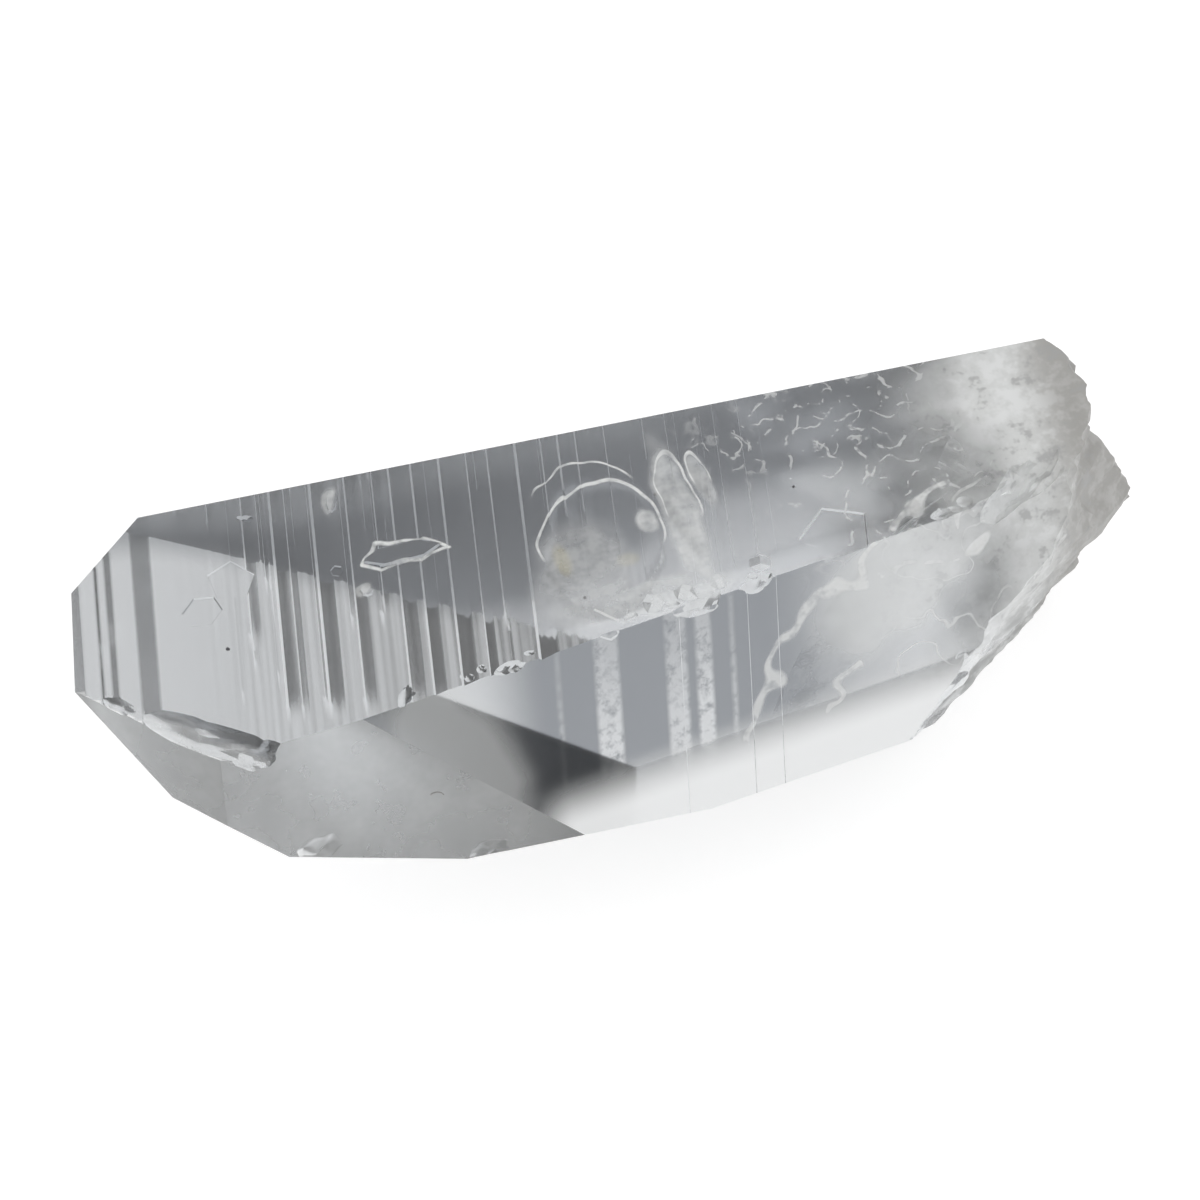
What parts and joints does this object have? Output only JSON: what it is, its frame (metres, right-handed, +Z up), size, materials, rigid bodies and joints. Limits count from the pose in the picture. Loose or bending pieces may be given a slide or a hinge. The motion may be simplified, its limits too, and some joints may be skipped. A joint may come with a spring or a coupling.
{
  "type": "quartz crystal point",
  "caption": "Clear quartz point lying on a prism face, with a slanted tip, ladder-marked flat faces, small crystals grown on and a rough broken root.",
  "frame": {"origin": "middle of the bounding box, at the height of the resting face", "axes": "+X along the crystal from the tip towards the broken root, +Y across it towards the back, +Z up through the ladder-marked top face"},
  "size_m": [0.0794, 0.032, 0.0273],
  "materials": {
    "clear_quartz": "natural clear crystal, glassy faces with a cloudy root"
  },
  "bodies": {
    "root": {"quartz_point": "clear_quartz"}
  },
  "joints": []
}
